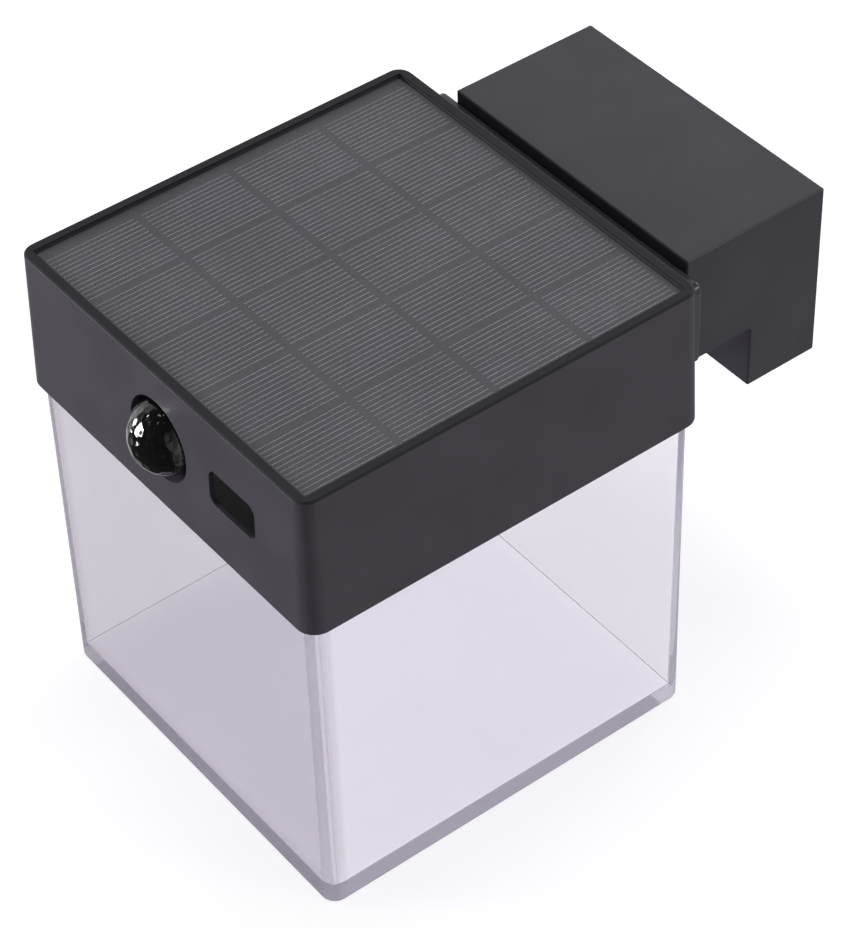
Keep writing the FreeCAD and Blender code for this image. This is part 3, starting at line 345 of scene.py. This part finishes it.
cellMaterial, tree, shader = newMaterial("siliconCells")
cellPlace = addNode(tree, "ShaderNodeTexCoord").outputs["Object"]
cellAxes = addNode(tree, "ShaderNodeSeparateXYZ", {0: cellPlace})
fingers = useGroup(tree, fineLines, Across=cellAxes.outputs["X"], Pitch=panelSizes["fingerPitch"],
                   Width=panelSizes["fingerWidth"])["Mask"]
fade = addNode(tree, "ShaderNodeTexNoise",
               {"Vector": cellPlace, "Scale": 420.0, "Detail": 3.0, "Roughness": 0.7})
fingers = mathNode(tree, "MULTIPLY", fingers, spread(tree, fade.outputs[0], 0.3, 0.62, 0.62, 1.0))
blueNoise = addNode(tree, "ShaderNodeTexNoise", {"Vector": cellPlace, "Scale": 75.0}).outputs[0]
tint = spread(tree, blueNoise, 0.5, 0.75)
wafer = mixColours(tree, tint, colour(cellColours["silicon"]), colour(cellColours["blue"]))
base = mixColours(tree, fingers, wafer, colour(cellColours["finger"]))
connect(tree, shader, Base_Color=base, Roughness=spread(tree, fade.outputs[0], 0.3, 0.7, 0.3, 0.45))

boardLook = {"dark": cellColours["board"], "light": cellColours["boardLight"], "grain": 1500.0,
             "roughness": (0.5, 0.6), "bump": 0.1}
panelBoardMaterial = plasticMaterial("panelBoard", boardLook)

laminate, tree, shader = newMaterial("panelLaminate")
grain = useGroup(tree, mouldGrain, **{"Scale": 4200.0, "Mottle Scale": 45.0})
veil = mixColours(tree, spread(tree, grain["Mottle"], 0.35, 0.65), colour((0.152, 0.148, 0.168)),
                  colour((0.176, 0.172, 0.193)))
bump = addNode(tree, "ShaderNodeBump", {"Height": grain["Height"], "Strength": 0.35, "Distance": 0.00003})
connect(tree, shader, Base_Color=veil, Normal=bump.outputs[0],
        Alpha=spread(tree, grain["Height"], 0.2, 0.8, 0.30, 0.38),
        Roughness=spread(tree, grain["Height"], 0.2, 0.8, 0.42, 0.55))

low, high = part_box("panel_cover")
half, middle = (high - low) / 2, (high + low) / 2
bevel = panelSizes["coverBevel"]
coverLoops = [roundedLoop(half.x, half.y, panelSizes["corner"], low.z + panelSizes["coverLift"], middle, 4),
              roundedLoop(half.x, half.y, panelSizes["corner"], high.z - bevel, middle, 4),
              roundedLoop(half.x - bevel, half.y - bevel, panelSizes["corner"] - bevel, high.z, middle, 4)]
coverMesh = loopMesh("panelSheet", coverLoops)
smooth(coverMesh)
newPiece("panelSheet", coverMesh, "lamp", "panel_resin", "panel_cover")
coverMesh.materials.append(laminate)
setMaterial("solar_cells", cellMaterial)
setMaterial("panel_board", panelBoardMaterial)
print("solar panel dressed")


# clear shade: one thick-walled box with round corners, its floor rounded outside and inside
shadeSizes = {"wall": 0.0024, "corner": 0.0035, "innerCorner": 0.0005, "floor": 0.0039, "foot": 0.0011,
              "innerFoot": 0.0006,
              "draft": math.radians(0.35), "footSteps": 6, "leastCorner": 0.0004}
clearPlastic, tree, shader = newMaterial("clearPlastic")
waves = addNode(tree, "ShaderNodeTexNoise", {"Vector": addNode(tree, "ShaderNodeTexCoord").outputs["Object"],
                                             "Scale": 18.0, "Detail": 1.0})
shadeLow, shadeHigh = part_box("shade")
half, middle = (shadeHigh - shadeLow) / 2, (shadeHigh + shadeLow) / 2
# painted shade: the front wall is tinted greyer than the rest, standing in for the darker view through it
shadeCoords = addNode(tree, "ShaderNodeTexCoord").outputs["Object"]
shadePlace = addNode(tree, "ShaderNodeSeparateXYZ", {0: shadeCoords})
paintedFrontShade = spread(tree, shadePlace.outputs["Y"], shadeLow.y + 0.0035, shadeLow.y + 0.005, 1.0, 0.0)
tintWithFrontShade = mixColours(tree, paintedFrontShade, colour((0.978, 0.965, 0.995)), colour((0.83, 0.80, 0.84)))
tree.links.new(tintWithFrontShade, shader.inputs["Base Color"])
shader.inputs["Transmission Weight"].default_value = 1.0
shader.inputs["IOR"].default_value = 1.49
bump = addNode(tree, "ShaderNodeBump", {"Height": waves.outputs[0], "Strength": 0.15, "Distance": 0.0004})
connect(tree, shader, Roughness=spread(tree, waves.outputs[0], 0.3, 0.7, 0.0, 0.03), Normal=bump.outputs[0])
clearOut = tree.nodes["Material Output"]
paths = addNode(tree, "ShaderNodeLightPath")
through = addNode(tree, "ShaderNodeBsdfTransparent", {"Color": colour((0.92, 0.91, 0.94))})
passing = mathNode(tree, "MAXIMUM", paths.outputs["Is Shadow Ray"], paths.outputs["Is Diffuse Ray"])
# light caught inside a wall is scattered by the plastic, which makes the thick edges a soft lilac grey
caught = mathNode(tree, "GREATER_THAN", paths.outputs["Glossy Depth"], 0.5)
hazeTone = mixColours(tree, waves.outputs[0], colour((0.52, 0.50, 0.55)), colour((0.62, 0.60, 0.66)))
haze = addNode(tree, "ShaderNodeMixShader",
               {0: 0.45, 1: addNode(tree, "ShaderNodeBsdfDiffuse", {"Color": hazeTone}).outputs[0],
                2: addNode(tree, "ShaderNodeBsdfTranslucent", {"Color": hazeTone}).outputs[0]})
edgeMix = addNode(tree, "ShaderNodeMixShader", {0: caught, 1: shader.outputs[0], 2: haze.outputs[0]})
glassMix = addNode(tree, "ShaderNodeMixShader", {0: passing, 1: edgeMix.outputs[0], 2: through.outputs[0]})
tree.links.new(glassMix.outputs[0], clearOut.inputs["Surface"])


def footLoops(halfX, halfY, corner, bottom, radius, middle, steps):
    # rings down round the lower edge, from its side to its floor
    rings = []
    for step in range(steps + 1):
        angle = step / steps * math.pi / 2
        inset = radius * (1 - math.cos(angle))
        height = bottom + radius * (1 - math.sin(angle))
        cornerHere = max(corner - inset, shadeSizes["leastCorner"])
        rings.append(roundedLoop(halfX - inset, halfY - inset, cornerHere, height, middle))
    return rings


innerDepth = shadeHigh.z - shadeLow.z - shadeSizes["floor"]
lean = math.tan(shadeSizes["draft"]) * innerDepth
innerX, innerY = half.x - shadeSizes["wall"], half.y - shadeSizes["wall"]
outside = [roundedLoop(half.x, half.y, shadeSizes["corner"], shadeHigh.z, middle)]
outside += footLoops(half.x, half.y, shadeSizes["corner"], shadeLow.z, shadeSizes["foot"], middle,
                     shadeSizes["footSteps"])
inside = footLoops(innerX - lean, innerY - lean, shadeSizes["innerCorner"], shadeLow.z + shadeSizes["floor"],
                   shadeSizes["innerFoot"], middle, shadeSizes["footSteps"])
inside.insert(0, roundedLoop(innerX, innerY, shadeSizes["innerCorner"], shadeHigh.z, middle))
shadeMesh = bpy.data.meshes.new("clearShade")
shape = bmesh.new()
outerRings = [[shape.verts.new(point) for point in loop] for loop in outside]
innerRings = [[shape.verts.new(point) for point in loop] for loop in inside]
for rings in (outerRings, innerRings):
    for first, second in zip(rings, rings[1:]):
        for index in range(len(first)):
            after = (index + 1) % len(first)
            shape.faces.new((first[index], first[after], second[after], second[index]))
    shape.faces.new(rings[-1])
for index in range(len(outerRings[0])):
    after = (index + 1) % len(outerRings[0])
    shape.faces.new((outerRings[0][index], innerRings[0][index], innerRings[0][after], outerRings[0][after]))
bmesh.ops.recalc_face_normals(shape, faces=shape.faces)
shape.to_mesh(shadeMesh)
shape.free()
smooth(shadeMesh, 40)
shade = newPiece("clearShade", shadeMesh, "lamp", "clear_plastic", "shade")
shadeMesh.materials.append(clearPlastic)
weighted = shade.modifiers.new("flatWalls", "WEIGHTED_NORMAL")
weighted.keep_sharp = True
print("shade built")


# sensor lens: glossy black dome with a ring of facets inside
lensSizes = {"radius": 0.0086, "wall": 0.0006, "flange": 0.0106, "flangeThick": 0.001, "tip": 0.0002,
             "facetRings": 4, "facetsAround": 14, "facetGap": 0.0004, "facetStart": 0.16}
lensPlastic, tree, shader = newMaterial("darkLens")
lensPlace = addNode(tree, "ShaderNodeTexCoord").outputs["Object"]
facetCells = addNode(tree, "ShaderNodeTexVoronoi", {"Vector": lensPlace, "Scale": 520.0, "Randomness": 0.55})
smoke = addNode(tree, "ShaderNodeTexNoise", {"Vector": lensPlace, "Scale": 500.0, "Detail": 2.0})
facetBump = addNode(tree, "ShaderNodeBump", {"Height": facetCells.outputs["Distance"], "Strength": 0.8,
                                             "Distance": 0.0006})
shader.inputs["IOR"].default_value = 1.53
shader.inputs["Coat Roughness"].default_value = 0.02
shader.inputs["Coat IOR"].default_value = 1.5
shader.inputs["Coat Weight"].default_value = 1.0
shader.inputs["Specular IOR Level"].default_value = 0.6
coatFace = addNode(tree, "ShaderNodeNewGeometry").outputs["Normal"]
tree.links.new(coatFace, shader.inputs["Coat Normal"])
lensTone = mixColours(tree, smoke.outputs[0], colour((0.003, 0.003, 0.0034)), colour((0.006, 0.006, 0.0066)))
connect(tree, shader, Normal=facetBump.outputs[0], Base_Color=lensTone,
        Roughness=spread(tree, smoke.outputs[0], 0.3, 0.7, 0.07, 0.14))
facetPlastic = plasticMaterial("lensFacets", {"dark": (0.004, 0.004, 0.0045), "light": (0.006, 0.006, 0.0065),
                                              "grain": 900.0, "roughness": (0.06, 0.12), "bump": 0.05,
                                              "specular": 0.8})
low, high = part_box("motion_lens")
lensAxis = Vector(((low.x + high.x) / 2, low.y + lensSizes["radius"], (low.z + high.z) / 2))
profile = [(lensSizes["tip"], lensSizes["radius"])]
for step in range(1, 25):
    angle = step / 24 * math.pi / 2
    profile.append((lensSizes["radius"] * math.sin(angle), lensSizes["radius"] * math.cos(angle)))
back = lensAxis.y - high.y
flangeFront = back + lensSizes["flangeThick"]
inner = lensSizes["radius"] - lensSizes["wall"]
profile += [(lensSizes["radius"], flangeFront), (lensSizes["flange"], flangeFront),
            (lensSizes["flange"], back), (inner, back)]
for step in range(16, -1, -1):
    angle = step / 16 * math.pi / 2
    profile.append((max(inner * math.sin(angle), lensSizes["tip"]), inner * math.cos(angle)))
domeMesh = turnedMesh("lensDome", profile, lensAxis, (0, -1, 0))
newPiece("lensDome", domeMesh, "lamp", "lens_plastic", "motion_lens")
domeMesh.materials.append(lensPlastic)

facetMesh = bpy.data.meshes.new("lensFacets")
shape = bmesh.new()
facetRadius = inner - lensSizes["facetGap"]
rings = []
for ring in range(lensSizes["facetRings"] + 1):
    start = lensSizes["facetStart"]
    angle = (start + (1 - start) * ring / lensSizes["facetRings"]) * math.pi / 2
    facetRing = []
    for step in range(lensSizes["facetsAround"]):
        around = (step + 0.5 * (ring % 2)) / lensSizes["facetsAround"] * 2 * math.pi
        across = facetRadius * math.sin(angle)
        place = Vector((across * math.cos(around), -facetRadius * math.cos(angle), across * math.sin(around)))
        facetRing.append(shape.verts.new(lensAxis + place))
    rings.append(facetRing)
shape.faces.new(rings[0])
for first, second in zip(rings, rings[1:]):
    count = len(first)
    for index in range(count):
        after = (index + 1) % count
        shape.faces.new((first[index], first[after], second[after], second[index]))
bmesh.ops.recalc_face_normals(shape, faces=shape.faces)
shape.to_mesh(facetMesh)
shape.free()
newPiece("lensFacets", facetMesh, "lamp", "lens_plastic")
facetMesh.materials.append(facetPlastic)
print("sensor lens built")


# mode button: soft pad with a crowned face, and its lip and stem behind the wall
buttonSizes = {"padX": 0.0074, "padZ": 0.00425, "corner": 0.0016, "bevel": 0.0009, "bevelSteps": 6,
               "cornerInset": 0.6, "stem": 0.0016, "stemCorner": 0.0015, "lipFront": 0.0019, "lipBack": 0.0027}
softRubber = plasticMaterial("softRubber", {"dark": (0.0045, 0.004, 0.005), "light": (0.0065, 0.006, 0.007),
                                            "edge": (0.016, 0.015, 0.018), "grain": 2600.0,
                                            "roughness": (0.5, 0.62), "bump": 0.2, "specular": 0.15})
low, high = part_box("mode_button")
centreX, centreZ = (low.x + high.x) / 2, (low.z + high.z) / 2
padX, padZ, corner = buttonSizes["padX"], buttonSizes["padZ"], buttonSizes["corner"]
stem = (buttonSizes["stem"], buttonSizes["stem"], buttonSizes["stemCorner"])
lip = ((high.x - low.x) / 2, (high.z - low.z) / 2, corner)
lipFront, lipBack = -(low.y + buttonSizes["lipFront"]), -(low.y + buttonSizes["lipBack"])
rings = [roundedLoop(*stem, -high.y), roundedLoop(*stem, lipBack), roundedLoop(*lip, lipBack),
         roundedLoop(*lip, lipFront), roundedLoop(padX, padZ, corner, lipFront)]
for step in range(buttonSizes["bevelSteps"] + 1):
    angle = step / buttonSizes["bevelSteps"] * math.pi / 2
    inset = buttonSizes["bevel"] * (1 - math.cos(angle))
    height = -(low.y + buttonSizes["bevel"] * (1 - math.sin(angle)))
    rings.append(roundedLoop(padX - inset, padZ - inset, corner - inset * buttonSizes["cornerInset"], height))
padRings = [[Vector((centreX + point.x, -point.z, centreZ + point.y)) for point in ring] for ring in rings]
padMesh = loopMesh("modePad", padRings)
smooth(padMesh, 35)
newPiece("modePad", padMesh, "button", "soft_button", "mode_button")
padMesh.materials.append(softRubber)
print("button built")


# light chips: a white frame round a yellow window
chipSizes = {"frame": 0.0004, "depth": 0.00022, "count": 8, "length": 0.0035, "width": 0.0028,
             "corner": 0.0002, "edge": 0.0001, "windowCorner": 0.0004, "windowGap": 0.00005}
frameLook = {"dark": (0.80, 0.80, 0.78), "light": (0.86, 0.86, 0.84), "grain": 2000.0,
             "roughness": (0.35, 0.45), "bump": 0.1}
phosphorLook = {"dark": (0.82, 0.60, 0.10), "light": (0.90, 0.70, 0.16), "grain": 6000.0,
                "roughness": (0.15, 0.25), "bump": 0.3}
chipFrame = plasticMaterial("chipFrame", frameLook)
phosphor = plasticMaterial("phosphor", phosphorLook)
low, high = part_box("led_chips")
ringRadius = (high.x - low.x) / 2 - chipSizes["length"] / 2
ringCentre = (low + high) / 2
frameShape, glowShape = bmesh.new(), bmesh.new()
for index in range(chipSizes["count"]):
    turn = Matrix.Rotation(2 * math.pi * index / chipSizes["count"], 4, "Z")
    shift = Matrix.Translation(Vector((ringCentre.x, ringCentre.y, 0)))
    centre = (ringRadius, 0.0)
    halfX, halfY, rim = chipSizes["length"] / 2, chipSizes["width"] / 2, chipSizes["frame"]
    edge, corner, windowCorner = chipSizes["edge"], chipSizes["corner"], chipSizes["windowCorner"]
    windowX, windowY = halfX - rim, halfY - rim
    floorZ = low.z + chipSizes["depth"]
    loops = [roundedLoop(halfX, halfY, corner, high.z, centre, 3),
             roundedLoop(halfX, halfY, corner, low.z + edge, centre, 3),
             roundedLoop(halfX - edge, halfY - edge, corner, low.z, centre, 3),
             roundedLoop(windowX, windowY, windowCorner, low.z, centre, 3),
             roundedLoop(windowX - edge, windowY - edge, windowCorner, floorZ, centre, 3)]
    rings = [[frameShape.verts.new(shift @ turn @ point) for point in loop] for loop in loops]
    for first, second in zip(rings, rings[1:]):
        for step in range(len(first)):
            after = (step + 1) % len(first)
            frameShape.faces.new((first[step], first[after], second[after], second[step]))
    frameShape.faces.new(rings[0])
    gap = chipSizes["windowGap"]
    glow = roundedLoop(windowX - gap, windowY - gap, windowCorner, low.z + chipSizes["depth"] * 0.6, centre, 3)
    ring = [glowShape.verts.new(shift @ turn @ point) for point in glow]
    top = glowShape.verts.new(shift @ turn @ Vector((ringRadius, 0, low.z + chipSizes["depth"] * 0.35)))
    for step in range(len(ring)):
        glowShape.faces.new((ring[step], ring[(step + 1) % len(ring)], top))
for name, shape, material in (("chipFrames", frameShape, chipFrame), ("chipWindows", glowShape, phosphor)):
    bmesh.ops.recalc_face_normals(shape, faces=shape.faces)
    mesh = bpy.data.meshes.new(name)
    shape.to_mesh(mesh)
    shape.free()
    smooth(mesh)
    mesh.materials.append(material)
    replaced = ["led_chips"] if name == "chipFrames" else []
    newPiece(name, mesh, "lamp", "light_chip", *replaced)
print("light chips built")

# inner pieces and small metal
plainLooks = {
    "whitePlastic": {"dark": (0.80, 0.80, 0.80), "light": (0.86, 0.86, 0.86), "grain": 2600.0,
                     "roughness": (0.40, 0.50), "bump": 0.2},
    "whiteMask": {"dark": (0.82, 0.82, 0.82), "light": (0.88, 0.88, 0.88), "grain": 1400.0,
                  "roughness": (0.25, 0.35), "bump": 0.1},
    "greenMask": {"dark": (0.010, 0.070, 0.030), "light": (0.016, 0.095, 0.042), "grain": 900.0,
                  "roughness": (0.25, 0.35), "bump": 0.15},
    "blackResin": {"dark": (0.010, 0.010, 0.010), "light": (0.016, 0.016, 0.016), "grain": 2200.0,
                   "roughness": (0.45, 0.60), "bump": 0.2},
    "zincPlate": {"dark": (0.42, 0.42, 0.43), "light": (0.58, 0.58, 0.60), "grain": 1200.0, "metallic": 1.0,
                  "roughness": (0.25, 0.40), "bump": 0.1},
    "nickelSheet": {"dark": (0.50, 0.48, 0.44), "light": (0.62, 0.60, 0.55), "grain": 900.0, "metallic": 1.0,
                    "roughness": (0.20, 0.32), "bump": 0.1},
    "blueSleeve": {"dark": (0.020, 0.060, 0.240), "light": (0.030, 0.080, 0.300), "grain": 500.0,
                   "roughness": (0.20, 0.30), "bump": 0.1},
    "redSleeve": {"dark": (0.280, 0.012, 0.010), "light": (0.340, 0.018, 0.014), "grain": 1200.0,
                  "roughness": (0.35, 0.45), "bump": 0.1},
    "foamTape": {"dark": (0.62, 0.62, 0.60), "light": (0.72, 0.72, 0.70), "grain": 1800.0,
                 "roughness": (0.75, 0.90), "bump": 0.5, "depth": 0.0001},
}
wearers = {
    "whitePlastic": ["base_plate"],
    "whiteMask": ["led_board"],
    "greenMask": ["control_board"],
    "blackResin": ["lens_retainer", "board_parts", "tact_switch", "switch_plunger", "battery_cradle"],
    "zincPlate": ["board_screws", "base_screws", "led_screws", "plate_screws", "bracket_screws"],
    "nickelSheet": ["motion_sensor", "battery_contacts"],
    "blueSleeve": ["battery_cell"],
    "redSleeve": ["panel_wires", "battery_wires", "led_wires"],
    "foamTape": ["panel_tape", "shade_seal"],
}
for name, look in plainLooks.items():
    finish = plasticMaterial(name, look)
    for node in wearers[name]:
        setMaterial(node, finish)
print("inner pieces dressed")


# floor, lamps and background
studio = {"floorSize": 4.0, "floorDrop": 0.0002, "floorColour": (0.70, 0.70, 0.705), "floorGlow": 0.47,
          "floorAway": 0.96, "glowFrom": 0.3, "glowTo": 1.6, "paperLight": (0.72, 0.72, 0.725),
          "worldLight": 0.30, "worldShown": (0.985, 0.985, 0.99), "backdrop": (-0.805, 0.593, 0.0),
          "sideWall": (0.805, 0.593, 0.0), "sideStrength": 0.5, "darkSide": 0.03}
lamps = {
    "keyLamp": {"place": (0.89, 0.50, 0.80), "aim": (0.0, -0.03, 0.0), "size": (0.30, 0.30), "watts": 4.1},
    "fillLamp": {"place": (-0.74, -0.98, 0.20), "aim": (0.0, -0.08, 0.0), "size": (0.30, 0.60), "watts": 13.2},
    "backLamp": {"place": (-0.35, 1.25, 0.40), "aim": (0.0, 0.0, -0.02), "size": (0.6, 0.5), "watts": 6.5},
    "topLamp": {"place": (-0.2, 0.1, 1.4), "aim": (0.0, -0.06, 0.0), "size": (0.6, 0.6), "watts": 3.6},
}
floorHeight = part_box("shade")[0].z - studio["floorDrop"]
floorHalf = studio["floorSize"] / 2
floorMesh = bpy.data.meshes.new("floor")
floorMesh.from_pydata([(-floorHalf, -floorHalf, floorHeight), (floorHalf, -floorHalf, floorHeight),
                       (floorHalf, floorHalf, floorHeight), (-floorHalf, floorHalf, floorHeight)],
                      [], [(0, 1, 2, 3)])
floor = bpy.data.objects.new("floor", floorMesh)
bpy.context.scene.collection.objects.link(floor)
floorPaper, tree, shader = newMaterial("floorPaper")
grain = useGroup(tree, mouldGrain, **{"Scale": 900.0, "Mottle Scale": 3.0})
paperTone = mixColours(tree, grain["Mottle"], colour(studio["floorColour"]), colour(studio["paperLight"]))
connect(tree, shader, Base_Color=paperTone)
shader.inputs["Roughness"].default_value = 0.9
shader.inputs["Specular IOR Level"].default_value = 0.1
paths = addNode(tree, "ShaderNodeLightPath")
seen = mathNode(tree, "MAXIMUM", paths.outputs["Is Camera Ray"],
                mathNode(tree, "MAXIMUM", paths.outputs["Is Glossy Ray"], paths.outputs["Is Transmission Ray"]))
shader.inputs["Emission Color"].default_value = colour((1.0, 1.0, 1.0))
# painted glow: the paper glows brighter away from the object, so that it joins the backdrop
reach = addNode(tree, "ShaderNodeVectorMath", {0: addNode(tree, "ShaderNodeTexCoord").outputs["Object"]},
                operation="LENGTH").outputs["Value"]
glow = spread(tree, reach, studio["glowFrom"], studio["glowTo"], studio["floorGlow"], studio["floorAway"])
tree.links.new(mathNode(tree, "MULTIPLY", seen, glow), shader.inputs["Emission Strength"])
floorMesh.materials.append(floorPaper)
floor.visible_glossy = False

world = bpy.data.worlds.new("studioAir")
world.use_nodes = True
bpy.context.scene.world = world
tree = world.node_tree
paths = addNode(tree, "ShaderNodeLightPath")
# gloss sees the white backdrop behind the object, a paler wall at its right, and a dark room in front
outward = addNode(tree, "ShaderNodeTexCoord").outputs["Generated"]
towards = []
for side, start, end in (("backdrop", 0.3, 0.9), ("sideWall", 0.2, 0.7)):
    along = addNode(tree, "ShaderNodeVectorMath", {0: outward, 1: studio[side]}, operation="DOT_PRODUCT")
    towards.append(spread(tree, along.outputs["Value"], start, end))
bright = mathNode(tree, "MAXIMUM", towards[0], mathNode(tree, "MULTIPLY", towards[1], studio["sideStrength"]))
bright = mathNode(tree, "MAXIMUM", bright, studio["darkSide"])
direct = mathNode(tree, "MAXIMUM", paths.outputs["Is Camera Ray"], paths.outputs["Is Transmission Ray"])
glossed = mathNode(tree, "MULTIPLY", paths.outputs["Is Glossy Ray"], bright)
shownStrength = mathNode(tree, "MAXIMUM", direct, glossed)
seen = mathNode(tree, "MAXIMUM", direct, paths.outputs["Is Glossy Ray"])
lightAir = addNode(tree, "ShaderNodeBackground", {"Color": colour((1.0, 1.0, 1.0)),
                                                  "Strength": studio["worldLight"]})
shownAir = addNode(tree, "ShaderNodeBackground",
                   {"Color": colour(studio["worldShown"]), "Strength": shownStrength})
airMix = addNode(tree, "ShaderNodeMixShader", {0: seen, 1: lightAir.outputs[0], 2: shownAir.outputs[0]})
tree.links.new(airMix.outputs[0], tree.nodes["World Output"].inputs["Surface"])

for name, lamp in lamps.items():
    light = bpy.data.lights.new(name, "AREA")
    light.shape = "RECTANGLE"
    light.size, light.size_y = lamp["size"]
    light.energy = lamp["watts"]
    holder = bpy.data.objects.new(name, light)
    bpy.context.scene.collection.objects.link(holder)
    holder.location = lamp["place"]
    holder.visible_camera = False
    holder.rotation_mode = "QUATERNION"
    holder.rotation_quaternion = (Vector(lamp["aim"]) - Vector(lamp["place"])).to_track_quat("-Z", "Y")
print("studio set")

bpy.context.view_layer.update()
